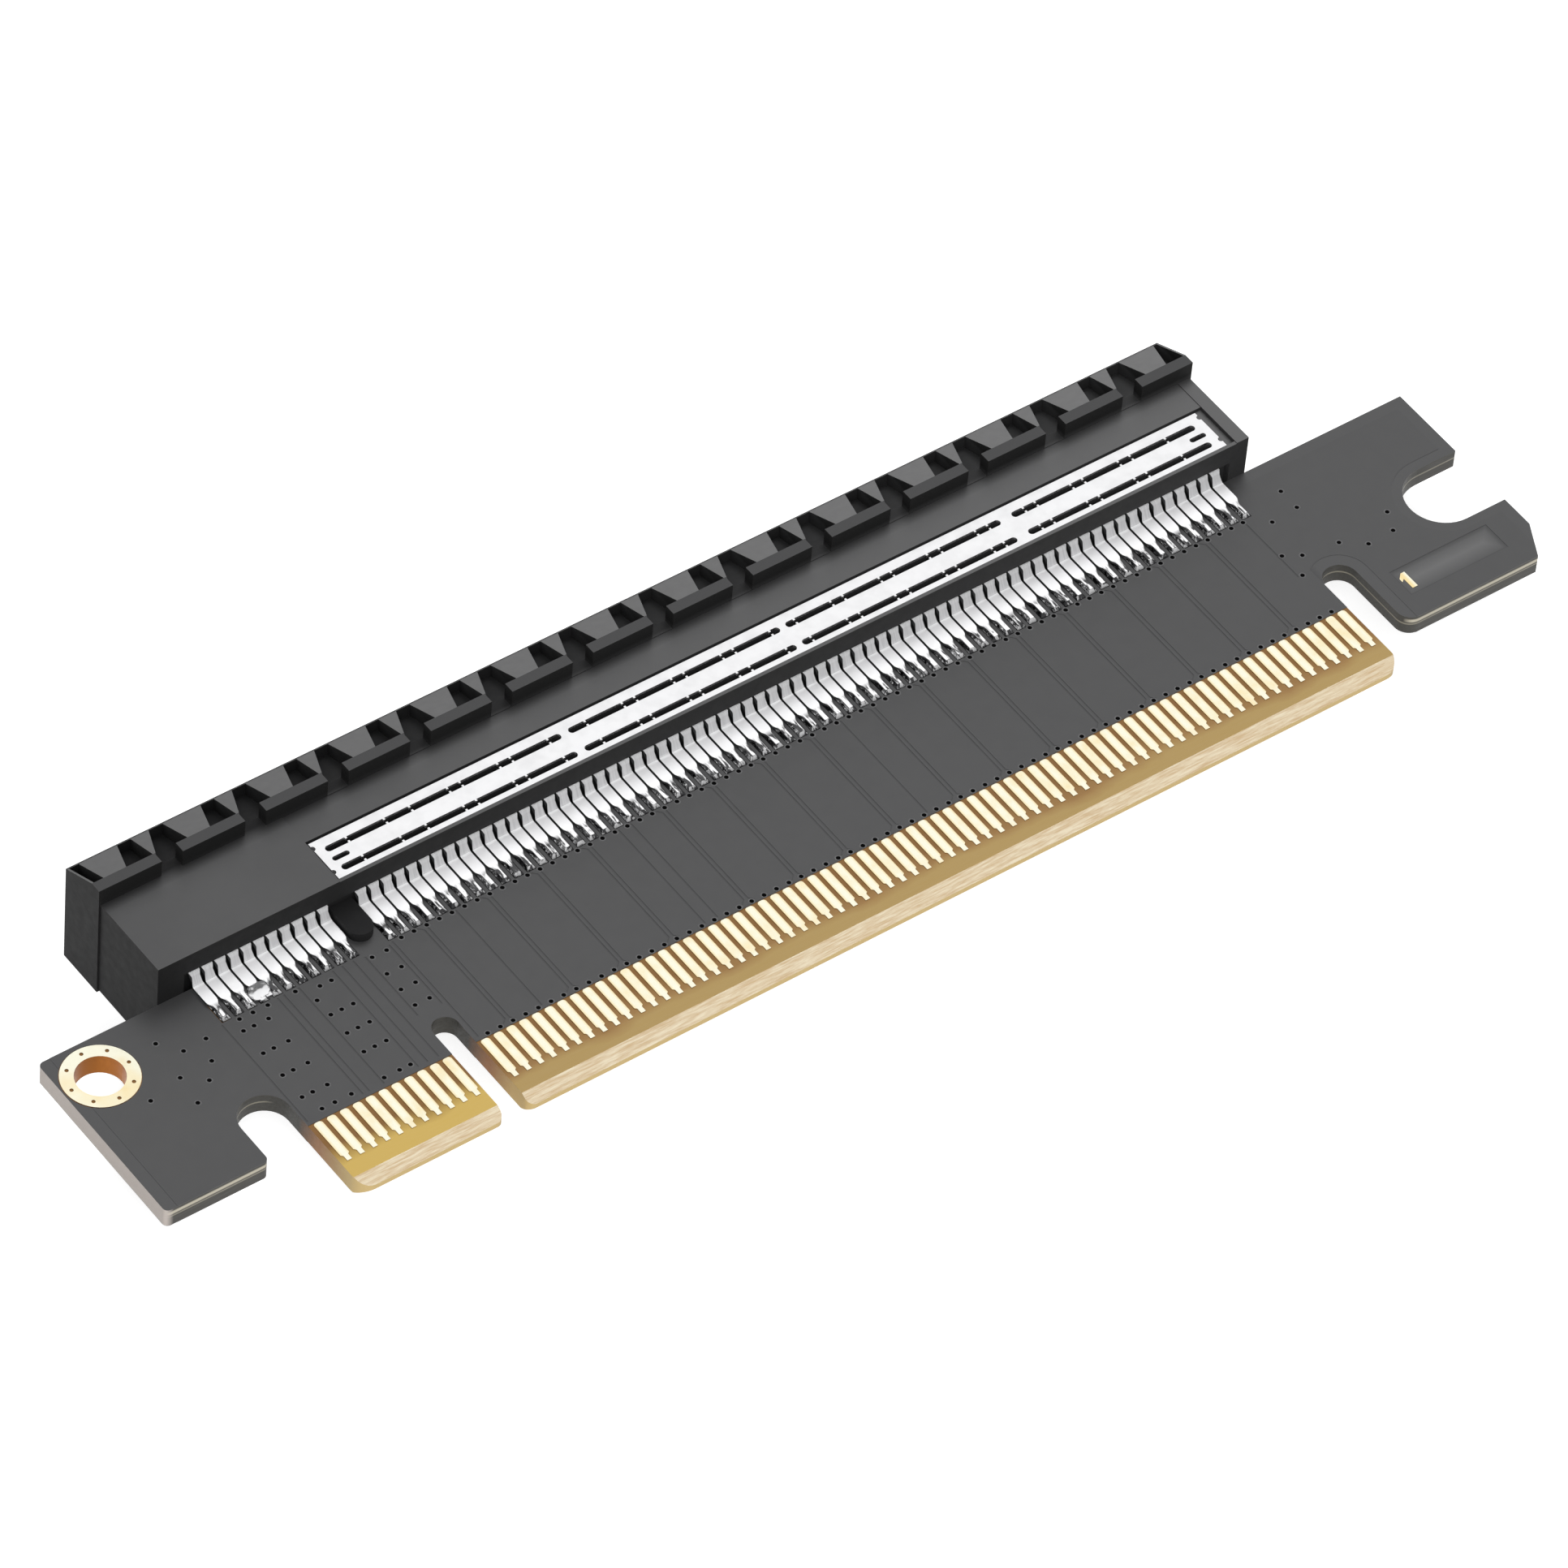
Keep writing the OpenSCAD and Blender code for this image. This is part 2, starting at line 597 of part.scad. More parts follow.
// One upper contact
module contact() {
    half = contact_half_plan();
    color("gainsboro") intersection() {
        along_x(-tail_w, tail_w) polygon(strip(contact_path(), strip_t));
        linear_extrude(body_h) polygon(concat(half,
            [for (i = [len(half) - 1 : -1 : 0]) [-half[i][0], half[i][1]]]));
    }
}

// A row of upper contacts at the given places
module contact_row(places) for (x = places) translate([x, 0, 0]) contact();

// Plan of what stays of the ribs: crest bars, ramps and the rims at the ends
module rib_plan() {
    for (i = [0 : rib_n - 1]) translate([body_x0 + i * rib_pitch, 0]) {
        flat([0, bar_y0 - cut], [bar_len, bar_y1]);
        polygon([[ramp_start, bar_y1], [ramp_start + ramp_top_w, bar_y1],
                 [ramp_start + ramp_foot_w, body_y1], [ramp_start, body_y1]]);
        polygon([[bar_len - rim_t, bar_y1 - rim_t], [bar_len, bar_y1 - rim_t],
                 [second_start + second_foot_w, body_y1], [second_start, body_y1]]);
    }
    flat([body_x0, bar_y0 - cut], [body_x0 + rim_t, body_y1]);
    flat([body_x1 - rim_t, bar_y0 - cut], [body_x1, body_y1]);
    flat([body_x0, body_y1 - rim_t], [body_x1, body_y1]);
}

// Block of the housing with its collar and the wedge that the ribs are cut from
module body_block() {
    back = -body_top + collar_step;
    box([body_x0, bar_y0, -body_top], [body_x1, body_y1, body_top]);
    box([body_x0 + collar_step, body_y0, back], [body_x1 - collar_step, bar_y0 + collar_step, body_top]);
    along_x(body_x0, body_x1)
        polygon([[bar_y0, 0], [bar_y0, body_top + rib_h], [bar_y1, body_top + rib_h],
                 [body_y1, body_top], [body_y1, 0]]);
}

// What is cut between the ribs
module rib_gaps() {
    intersection() {
        along_x(body_x0 - cut, body_x1 + cut)
            polygon([[bar_y0 - cut, body_top], [bar_y1, body_top], [body_y1, body_top - pocket_d],
                     [body_y1, body_top + rib_h + cut], [bar_y0 - cut, body_top + rib_h + cut]]);
        linear_extrude(body_h) difference() {
            flat([body_x0, bar_y0 - cut], [body_x1, body_y1]);
            rib_plan();
        }
    }
}

// Card slot with its lead-in and the comb of contact cavities
module card_slot() {
    for (span = [[tab_x0 - slot_room, -key_wall / 2], [key_wall / 2, tab_x1 + slot_room]]) {
        box([span[0], slot_y0, -slot_w / 2], [span[1], body_y1 + cut, slot_w / 2]);
        along_x(span[0], span[1])
            polygon([[body_y1 - lead_in, -slot_w / 2], [body_y1 + cut, -slot_w / 2 - lead_in - cut],
                     [body_y1 + cut, slot_w / 2 + lead_in + cut], [body_y1 - lead_in, slot_w / 2]]);
    }
    for (x = all_places) {
        box([x - cavity_w / 2, slot_y0 - trough_d, -cavity_h], [x + cavity_w / 2, cavity_y1, cavity_h]);
        for (side = [0, 1]) mirror([0, 0, side])
            box([x - cavity_w / 2, body_y0, exit_z - strip_t], [x + cavity_w / 2, slot_y0, cavity_h]);
    }
}

// Locating peg over one face of the board at the key
module key_peg() {
    y = body_y0 - peg_reach + peg_w / 2;
    translate([0, y, half_t]) cylinder(r = peg_w / 2, h = peg_h - half_t);
    box([-peg_w / 2, y, half_t], [peg_w / 2, trough_y1 + trough_d, peg_h]);
}

// Moulded housing of the slot
module slot_housing() {
    groove_z = plate_z0 - vent_groove;
    color("#2c2c2e") difference() {
        union() {
            difference() {
                body_block();
                box([trough_x0, body_y0 - cut, -trough_h], [trough_x1, trough_y1, trough_h]);
            }
            for (side = [0, 1]) mirror([0, 0, side]) key_peg();
        }
        rib_gaps();
        card_slot();
        box([plate_x0 - plate_room, plate_y0, plate_z0],
            [plate_x0 + plate_len + plate_far_room, plate_y0 + plate_w + plate_room, body_top + cut]);
        box([plate_x0 - plate_room, body_y0 - cut, body_top - panel_step],
            [plate_x0 + plate_len + plate_far_room, bar_y0, body_top + cut]);
        translate([plate_x0, plate_y0, groove_z]) linear_extrude(vent_groove + cut) plate_vents();
    }
}

// Long slots of the plate in two rows, and the short slot at each end
module plate_vents() {
    for (y = [front_vent_y, back_vent_y], share = vent_end_shares)
        long_slot(share[0] * plate_len, share[1] * plate_len, y, vent_w);
    for (x = [short_vent_in, plate_len - short_vent_in - short_vent_len])
        long_slot(x, x + short_vent_len, middle_vent_y, vent_w * 3 / 4);
}

// Stamped ground plate in its recess
module ground_plate() {
    color("whitesmoke") translate([plate_x0, plate_y0, plate_z0]) linear_extrude(plate_t) difference() {
        square([plate_len, plate_w]);
        difference() {
            plate_vents();
            for (pin = ground_pins, y = [front_vent_y, back_vent_y], side = [-1, 1])
                translate([plate_from_pin + pin * pitch - nib_shift, y + side * (vent_w - nib_reach) / 2])
                    square([nib_w, nib_reach], center = true);
        }
        for (x = [0, plate_len], y = [front_vent_y, back_vent_y + vent_w])
            translate([x, y]) circle(bite_r, $fn = small_fn);
    }
}

circuit_board();
solder_mask();  // solder_mask_front
mirror([0, 0, 1]) solder_mask();  // solder_mask_back
edge_fingers();  // edge_fingers_front
mirror([0, 0, 1]) edge_fingers();  // edge_fingers_back
barrel_plating();
contact_lands();  // contact_lands_front
mirror([0, 0, 1]) contact_lands();  // contact_lands_back
solder_joints();  // solder_joints_front
mirror([0, 0, 1]) solder_joints();  // solder_joints_back
slot_housing();
ground_plate();
contact_row(short_places);  // contacts_upper_short
contact_row(long_places);  // contacts_upper_long
mirror([0, 0, 1]) contact_row(short_places);  // contacts_lower_short
mirror([0, 0, 1]) contact_row(long_places);  // contacts_lower_long
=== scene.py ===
import math

import bmesh
import bpy
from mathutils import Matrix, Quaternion, Vector, noise


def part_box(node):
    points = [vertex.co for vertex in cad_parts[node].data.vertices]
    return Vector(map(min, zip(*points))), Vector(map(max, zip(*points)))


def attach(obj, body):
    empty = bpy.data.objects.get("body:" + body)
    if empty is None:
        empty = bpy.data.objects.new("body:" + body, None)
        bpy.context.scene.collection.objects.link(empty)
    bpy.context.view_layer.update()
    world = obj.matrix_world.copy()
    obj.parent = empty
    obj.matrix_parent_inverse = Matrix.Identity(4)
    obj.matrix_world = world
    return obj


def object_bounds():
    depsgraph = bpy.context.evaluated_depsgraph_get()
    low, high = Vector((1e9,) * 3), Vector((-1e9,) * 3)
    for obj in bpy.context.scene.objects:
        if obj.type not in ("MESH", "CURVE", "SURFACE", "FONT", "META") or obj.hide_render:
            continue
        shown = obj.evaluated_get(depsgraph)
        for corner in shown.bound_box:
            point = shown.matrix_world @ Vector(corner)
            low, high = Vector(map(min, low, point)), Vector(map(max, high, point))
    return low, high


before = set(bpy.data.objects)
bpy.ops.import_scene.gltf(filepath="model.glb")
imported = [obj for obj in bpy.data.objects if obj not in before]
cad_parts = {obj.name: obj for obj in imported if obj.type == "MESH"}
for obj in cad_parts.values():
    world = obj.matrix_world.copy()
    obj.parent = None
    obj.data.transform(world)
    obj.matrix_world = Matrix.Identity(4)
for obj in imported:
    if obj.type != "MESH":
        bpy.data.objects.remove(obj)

CAD_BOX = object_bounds()
MM = 0.001

# Camera: where it stands and what it looks at, in millimetres, its roll and lens, its range in metres
CAMERA_AT = Vector((-292.92, -374.77, 551.83))
CAMERA_AIM = Vector((31.31, 14.01, 0.0))
CAMERA_ROLL = math.radians(5.263)
CAMERA_LENS = 260.94
CAMERA_RANGE = (0.01, 20)
SENSOR = 36.0

# Lamps: place in millimetres from the aim point, size, power in watts
SOFTBOX = {"name": "softbox", "at": (223, 178, 566), "size": 310, "watts": 3.1}
FRONT_FILL = {"name": "front_fill", "at": (-250, -430, 500), "size": 420, "watts": 3.7}
SKY_LEVEL = 0.12
FLOOR_GREY = 0.45
FLOOR_GLOW = 0.84
FLOOR_SIZE = 6000

# Colours, as linear values
MASK_DARK = (0.046, 0.046, 0.047)
MASK_LIGHT = (0.051, 0.051, 0.052)
# Painted shade in the mask's grooves and along the sunk field's far edges
MASK_SHADE = (0.037, 0.037, 0.038)
MASK_FIELD = (0.100, 0.100, 0.101)
MASK_BORDER = (0.052, 0.052, 0.053)
MASK_EDGE = (0.070, 0.070, 0.070)
# Paler rim round a via: a painted highlight on its raised ring
MASK_RIM_HIGHLIGHT = (0.115, 0.115, 0.117)
# Near-black of the via bores: painted shade down the holes
VIA_SHADE_DARK = (0.002, 0.002, 0.002)
VIA_SHADE_PALE = (0.004, 0.004, 0.004)
PLASTIC_TOP = (0.051, 0.051, 0.052)
PLASTIC_TOP_PALE = (0.060, 0.060, 0.061)
# Paler plastic toward the housing's far end: painted light
PLASTIC_TOP_FAR_LIGHT = (0.086, 0.086, 0.087)
# Plastic walls, darker than the tops as painted shade, and paler toward the far end by painted light
PLASTIC_WALL_SHADE = (0.005, 0.005, 0.0053)
PLASTIC_WALL_SHADE_FAR = (0.026, 0.026, 0.0265)
PLASTIC_BAR = (0.036, 0.036, 0.037)
PLASTIC_BAR_WALL_SHADE = (0.002, 0.002, 0.002)
GOLD = (1.0, 0.98, 0.80)
GOLD_WARM = (0.97, 0.77, 0.38)
GOLD_EDGE = (0.36, 0.19, 0.05)
COPPER = (0.34, 0.12, 0.025)
TIN = (0.99, 0.99, 1.0)
# Greyer steep part of a tail: painted shade
TIN_STEEP_SHADE = (0.54, 0.54, 0.55)
# Dark of painted shade at the tails' sides and the feet's edges, and of painted reflection in streaks
# over solder
SOLDER_SHADE = (0.05, 0.05, 0.052)
STEEL = (0.95, 0.95, 0.96)
AMBER_SHORT = (0.49, 0.34, 0.095)
AMBER_LONG = (0.26, 0.15, 0.055)
AMBER_PALE = (0.335, 0.23, 0.087)
GAP_BROWN = (0.17, 0.085, 0.025)
RESIN_DARK = (0.02, 0.02, 0.02)
FIBRE = (0.515, 0.38, 0.225)
FIBRE_PALE = (0.69, 0.605, 0.445)
EDGE_AMBER = (0.74, 0.54, 0.23)
EDGE_BROWN = (0.44, 0.21, 0.085)
EDGE_DARK = (0.038, 0.036, 0.030)
EDGE_LINE = (0.30, 0.28, 0.22)
# Cream band on the forward edges: a painted highlight
EDGE_CREAM_HIGHLIGHT = (0.64, 0.59, 0.47)
EDGE_PALE = (0.66, 0.59, 0.54)

# Share of its colour that tin keeps in its dull patches, and the range that noise mostly keeps to
TIN_DULLING = 0.90
NOISE_SPAN = (0.3, 0.7)

# Rounding of edges: what counts as one point, as flat and as an edge, in metres and degrees
POINT_GAP = 1e-7
WELD_GAP = 1e-6
FLAT_ANGLE = 0.5
EDGE_ANGLE = 35
ROUND_SEGMENTS = 2

# Places along the card, in millimetres, as the part's source has them
PITCH = 1.0
FIRST_SHORT = -11.5
FIRST_LONG = 1.5
LONG_PINS = 71
FINGER_TOP = 5.95
LAND_LOW = 16.23
TAB = (-12.15, 72.15)
HOLE_EAR = (-23.75, -12.15)
HOOK_EAR = (71.25, 87.4)
BOARD_HEIGHT = 19.7
HALF_BOARD = 0.785
HALF_CORE = 0.745
RELIEF = 0.02
FIELD_X = (76.52, 84.82)
FIELD_Y = (4.55, 6.99)

# Mask: in the field, the painted shade at its far and upper side, the painted dark line round it,
# the swell of tone to its middle, and its margin; then the fade from the painted shade of the
# grooves to the borders off the tab, and the heights that part sunk mask from raised
FIELD_SHADE = (0.0, 0.4)
FIELD_SHADE_LINE = (0.04, 0.10)
FIELD_SWELL = (0.0, (FIELD_Y[1] - FIELD_Y[0]) / 2)
FIELD_MARGIN = (-0.02, -0.01)
BORDER_FADE = (0.0, 0.5)
RAISED_Z = (HALF_BOARD - 0.75 * RELIEF, HALF_BOARD - 0.25 * RELIEF)

# Housing: heights of the bars and of the lower walls, duller and with painted shade, and the painted
# shadow on the floor between the bars
BAR_Z = (4.3, 4.6)
SHADED_DULL_Z = (1.6, 3.4)
POCKET_SHADOW_Y = (25.5, 26.6)
POCKET_SHADOW_Z = (4.21, 4.29)

# Fingers, feet and solder: where painted shade and reflection fall, as distances from the middle of
# a contact, and along Y from the land's lower end
FINGER_SHADE_SIDE = (0.14, 0.37)
FOOT_SHADE_SIDE = (0.13, 0.18)
SHADE_BETWEEN_FEET = (0.26, 0.38)
FOOT_TOP = (1.05, 1.5)
SOLDER_SHADE_TIP = (0.0, 0.55)

# Laminate, on its faces: the two ambers' border at the key, the strip's fade as shares of its
# width, the fade up the gaps, the start of the mask above the fingers, and the fade beside the ear
# with the hole
KEY_X = (-1.0, 1.0)
STRIP_FADE = (0.75, 1.1)
GAP_FADE = (0.0, 1.6)
UNDER_MASK = (0.1, 0.5)
EAR_FADE = (0.0, 1.0)

# Laminate, at its edges: amber to brown to dark up the tab's sides, the start of the sawn edges
# off the tab, the thin line, the painted cream highlight on the forward edges, and the pale left end
BROWN_Y = (1.8, 4.4)
DARK_Y = (4.8, 7.0)
SAWN_FROM = (0.4, 0.9)
LINE_Z = 0.1
LINE_REACH = (0.02, 0.09)
CREAM_HIGHLIGHT_Z = 0.4
CREAM_HIGHLIGHT_REACH = (0.08, 0.19)
CREAM_HIGHLIGHT_Y = (6.0, 7.0)
PALE_END = (0.1, 0.6)

# Vias: the rows at the fingers and the lands, groups as columns in pitches and rows as shares of
# the masked height, and those on the ears as shares of each ear's width and height
VIA_ROWS = (FINGER_TOP + 0.28, LAND_LOW - 0.22)
VIA_GROUPS = (
    ((0.92, 1.92, 3.2, 5.75, 6.95, 7.8), (0.075,)),
    ((0.75, 1.8, 2.95, 5.1), (0.965,)),
    ((0.4, 1.22, 2.35), (0.22, 0.435, 0.65, 0.87)),
    ((5.9, 6.75, 7.65), (0.32, 0.505, 0.685)),
    ((5.85,), (0.83,)),
    ((6.7, 7.6), (0.92,)),
    ((10.93, 12.07), (0.465, 0.62, 0.775, 0.94)))
HOLE_EAR_VIAS = ((0.63, 0.865), (0.73, 0.79), (0.885, 0.795), (0.605, 0.7), (0.82, 0.705),
                 (0.73, 0.64), (0.585, 0.58), (0.375, 0.67))
HOOK_EAR_VIAS = ((0.23, 0.86), (0.23, 0.77), (0.09, 0.76), (0.535, 0.585), (0.49, 0.505),
                 (0.355, 0.5), (0.255, 0.56), (0.08, 0.58), (0.01, 0.505), (0.005, 0.615))

# Profiles of a via, as radius and height: the cup in the mask's opening, and the rim round it
VIA_SEGMENTS = 16
VIA_LIP = HALF_BOARD + 0.003
VIA_CUP = ((0.0, HALF_CORE + 0.001), (0.118, HALF_CORE + 0.001), (0.118, HALF_BOARD + 0.001),
           (0.155, HALF_BOARD + 0.001), (0.150, VIA_LIP), (0.105, VIA_LIP),
           (0.05, HALF_CORE + 0.010), (0.0, HALF_CORE + 0.006))
VIA_RIM = ((0.16, HALF_BOARD), (0.245, HALF_BOARD), (0.215, HALF_BOARD + 0.012),
           (0.180, HALF_BOARD + 0.012))

# The lump of solder between two contacts: its middle, its half sizes, the depth and fineness
# of its swellings, and how often its faces are divided
BRIDGE_AT = (-8.35, 17.05, 0.9)
BRIDGE_SIZE = (0.85, 0.72, 0.30)
BRIDGE_SWELLS = ((0.22, 1.7), (0.10, 5))
BRIDGE_DETAIL = 4

# The plain index number on the hook's field: its outline, its heights and its rounding
NUMERAL_ONE = ((76.98, 5.0), (77.42, 5.0), (77.42, 6.5), (77.1, 6.5), (76.72, 6.12), (76.72, 5.78),
               (76.98, 5.98))
NUMERAL_Z = (HALF_BOARD - RELIEF, HALF_BOARD + 0.012)
NUMERAL_ROUNDING = 0.006


def mm(*p):
    """A point given in millimetres, in metres."""
    return Vector(p) * MM


def span(pair, start=0.0):
    """Two places in millimetres, counted from a start, in metres."""
    return [(start + place) * MM for place in pair]


# Materials

class Shader:
    """A principled material whose nodes are added one by one."""

    def __init__(self, name):
        self.material = bpy.data.materials.new(name)
        self.material.use_nodes = True
        self.tree = self.material.node_tree
        self.bsdf = self.tree.nodes["Principled BSDF"]
        self.place = self.add("ShaderNodeTexCoord").outputs["Object"]

    def add(self, kind, **settings):
        node = self.tree.nodes.new(kind)
        for key, value in settings.items():
            setattr(node, key, value)
        return node

    def join(self, source, target):
        self.tree.links.new(source, target)

    def set(self, **values):
        """Sets the shader's own sockets, with underscores for spaces."""
        for key, value in values.items():
            self.bsdf.inputs[key.replace("_", " ")].default_value = value

    def stretched(self, scale):
        """The place in the part's frame, in metres, scaled along each axis."""
        mapping = self.add("ShaderNodeMapping")
        mapping.inputs["Scale"].default_value = scale
        self.join(self.place, mapping.inputs["Vector"])
        return mapping.outputs["Vector"]

    def noise(self, scale, detail=3.0, stretch=None, roughness=0.5):
        node = self.add("ShaderNodeTexNoise")
        node.inputs["Scale"].default_value = scale
        node.inputs["Detail"].default_value = detail
        node.inputs["Roughness"].default_value = roughness
        self.join(self.stretched(stretch) if stretch else self.place, node.inputs["Vector"])
        return node.outputs["Fac"]

    def ramp(self, factor, low, high, a=0.0, b=1.0):
        """A value from low to high as factor goes from a to b."""
        node = self.add("ShaderNodeMapRange")
        for key, value in zip(("From Min", "From Max", "To Min", "To Max"), (a, b, low, high)):
            node.inputs[key].default_value = value
        self.join(factor, node.inputs["Value"])
        return node.outputs["Result"]

    def rise(self, factor, a, b):
        """Nought up to a, one from b on, and even between them."""
        return self.ramp(factor, 0, 1, a, b)

    def fall(self, factor, a, b):
        """One up to a, nought from b on, and even between them."""
        return self.ramp(factor, 1, 0, a, b)

    def mottle(self, low, high, scale, detail=3.0, roughness=0.5):
        """A value that wanders between low and high over the surface."""
        return self.ramp(self.noise(scale, detail, roughness=roughness), low, high, *NOISE_SPAN)

    def mix(self, factor, a, b):
        """A colour between a and b, each a colour or another node's output."""
        node = self.add("ShaderNodeMix", data_type="RGBA")
        self.join(factor, node.inputs["Factor"])
        colours = [s for s in node.inputs if s.type == "RGBA"]
        for socket, value in zip(colours, (a, b)):
            if isinstance(value, tuple):
                socket.default_value = (*value, 1.0)
            else:
                self.join(value, socket)
        return next(s for s in node.outputs if s.type == "RGBA")

    def math(self, operation, a, b=None, c=None):
        node = self.add("ShaderNodeMath", operation=operation)
        for socket, value in zip(node.inputs, (a, b, c)):
            if value is None:
                continue
            if isinstance(value, (int, float)):
                socket.default_value = value
            else:
                self.join(value, socket)
        return node.outputs["Value"]

    def least(self, first, *others):
        for other in others:
            first = self.math("MINIMUM", first, other)
        return first

    def most(self, first, *others):
        for other in others:
            first = self.math("MAXIMUM", first, other)
        return first

    def axis(self, letter, normal=False):
        """One coordinate of the place, or of the surface's normal."""
        node = self.add("ShaderNodeSeparateXYZ")
        source = self.add("ShaderNodeNewGeometry").outputs["Normal"] if normal else self.place
        self.join(source, node.inputs["Vector"])
        return node.outputs[letter]

    def facing(self, letter):
        """How squarely the surface faces along an axis, either way, from nought to one."""
        return self.math("ABSOLUTE", self.axis(letter, normal=True))

    def off_plane(self):
        """Distance from the middle of the board's thickness, in metres."""
        return self.math("ABSOLUTE", self.axis("Z"))

    def off_tab(self, x):
        """Distance along X outside the tab that carries the fingers, in metres, negative within it."""
        middle, half = (TAB[0] + TAB[1]) / 2, (TAB[1] - TAB[0]) / 2
        away = self.math("ABSOLUTE", self.math("SUBTRACT", x, middle * MM))
        return self.math("SUBTRACT", away, half * MM)

    def from_pin(self):
        """Distance along X from the middle of the nearest contact, in pitches."""
        steps = self.math("MULTIPLY_ADD", self.axis("X"), 1 / (PITCH * MM), -FIRST_LONG / PITCH)
        return self.math("PINGPONG", steps, 0.5)

    def near(self, value, place, reach):
        """One close to a place in millimetres, fading to nought over the reach."""
        away = self.math("ABSOLUTE", self.math("SUBTRACT", value, place * MM))
        return self.fall(away, *span(reach))

    def colour(self, output):
        self.join(output, self.bsdf.inputs["Base Color"])

    def roughness(self, output):
        self.join(output, self.bsdf.inputs["Roughness"])

    def bump(self, height, strength, depth):
        """Bumps by a height, as deep as a number of millimetres."""
        node = self.add("ShaderNodeBump")
        node.inputs["Strength"].default_value = strength
        node.inputs["Distance"].default_value = depth * MM
        self.join(height, node.inputs["Height"])
        self.join(node.outputs["Normal"], self.bsdf.inputs["Normal"])


def field_tones(s, x, y):
    """The sunk field on the hook: where it is, and its colour with its painted shade."""
    to_end = s.math("SUBTRACT", FIELD_X[1] * MM, x)
    to_top = s.math("SUBTRACT", FIELD_Y[1] * MM, y)
    to_far_side = s.least(to_end, to_top)
    from_start = s.math("SUBTRACT", x, FIELD_X[0] * MM)
    from_foot = s.math("SUBTRACT", y, FIELD_Y[0] * MM)
    inside = s.least(to_far_side, from_start, from_foot)
    swell = s.mix(s.rise(inside, *span(FIELD_SWELL)), MASK_BORDER, MASK_FIELD)
    # Painted shade at the field's far and upper side, and a painted dark line round it
    shade = s.least(s.rise(to_far_side, *span(FIELD_SHADE)), s.rise(inside, *span(FIELD_SHADE_LINE)))
    return s.rise(inside, *span(FIELD_MARGIN)), s.mix(shade, MASK_SHADE, swell)


def mask_material():
    """Satin solder mask: an even dark grey, with painted shade in its grooves, and paler in the sunk
    field.
    """
    s = Shader("solder_mask")
    x, y = s.axis("X"), s.axis("Y")
    even = s.mix(s.noise(40, 2), MASK_DARK, MASK_LIGHT)
    in_field, field = field_tones(s, x, y)
    # Painted shade in the grooves on the tab, fading off the tab
    groove_shade = s.mix(s.rise(s.off_tab(x), *span(BORDER_FADE)), MASK_SHADE, MASK_BORDER)
    sunk = s.mix(in_field, groove_shade, field)
    face = s.mix(s.rise(s.off_plane(), *span(RAISED_Z)), sunk, even)
    s.colour(s.mix(s.rise(s.facing("Z"), 0.3, 0.7), MASK_EDGE, face))
    s.roughness(s.mottle(0.40, 0.48, 900))
    s.set(Specular_IOR_Level=0.5)
    s.bump(s.noise(2600), 0.10, 0.01)
    return s.material


def plastic_material():
    """Glass-filled moulded plastic: fine grain, slow random changes of tone, painted light toward the
    far end, and painted shade on its duller walls and low parts.
    """
    s = Shader("housing_plastic")
    # Painted light: the plastic grows paler toward the far end
    far = s.rise(s.axis("X"), *(corner.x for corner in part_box("slot_housing")))
    bar = s.rise(s.axis("Z"), *span(BAR_Z))
    bar_top = s.math("MULTIPLY", bar, s.rise(s.facing("Z"), 0.93, 0.98))
    near_top = s.mix(s.mottle(0, 1, 120, 4, roughness=0.6), PLASTIC_TOP, PLASTIC_TOP_PALE)
    top = s.mix(bar_top, s.mix(far, near_top, PLASTIC_TOP_FAR_LIGHT), PLASTIC_BAR)
    wall_shade = s.mix(bar, s.mix(far, PLASTIC_WALL_SHADE, PLASTIC_WALL_SHADE_FAR), PLASTIC_BAR_WALL_SHADE)
    # Painted shade on the walls and low down near the board, where the plastic is duller too
    level = s.rise(s.off_plane(), *span(SHADED_DULL_Z))
    up = s.math("MULTIPLY", s.rise(s.facing("Z"), 0.2, 0.8), level)
    # Painted shadow on the floor between the bars and just before them
    outside_pocket_shadow = s.most(s.fall(s.axis("Y"), *span(POCKET_SHADOW_Y)), s.rise(s.off_plane(), *span(POCKET_SHADOW_Z)))
    up = s.math("MULTIPLY", up, outside_pocket_shadow)
    s.colour(s.mix(up, wall_shade, top))
    s.roughness(s.math("ADD", s.ramp(up, 0.78, 0.38), s.mottle(-0.04, 0.04, 1500, 4)))
    s.set(Specular_IOR_Level=0.36)
    s.bump(s.noise(5200, 5, roughness=0.65), 0.10, 0.02)
    return s.material


def gold_material():
    """Hard gold plate: pale in the middle of a finger, warmer to its sides by painted shade and in
    random spots, with fine pits.
    """
    s = Shader("finger_gold")
    # Painted shade: warmer toward a finger's sides, and in random spots
    warm_shade_and_spots = s.most(s.ramp(s.from_pin(), 0, 0.9, *FINGER_SHADE_SIDE), s.rise(s.noise(500), 0.5, 0.9))
    face = s.mix(warm_shade_and_spots, GOLD, GOLD_WARM)
    s.colour(s.mix(s.rise(s.facing("Z"), 0.35, 0.85), GOLD_EDGE, face))
    s.roughness(s.mottle(0.26, 0.40, 3000))
    s.set(Metallic=1.0)
    s.bump(s.noise(6000), 0.10, 0.02)
    return s.material


def barrel_material():
    """Plating of the hole: gold on the faces, and copper-toned down the barrel."""
    s = Shader("barrel_plating")
    face = s.mix(s.ramp(s.noise(300), 0, 0.8, 0.42, 0.75), GOLD, GOLD_WARM)
    side = s.math("SUBTRACT", 1.0, s.facing("Z"))
    s.colour(s.mix(s.rise(side, 0.3, 0.8), face, COPPER))
    s.roughness(s.mottle(0.28, 0.42, 2500))
    s.set(Metallic=1.0)
    s.bump(s.noise(5000), 0.10, 0.02)
    return s.material


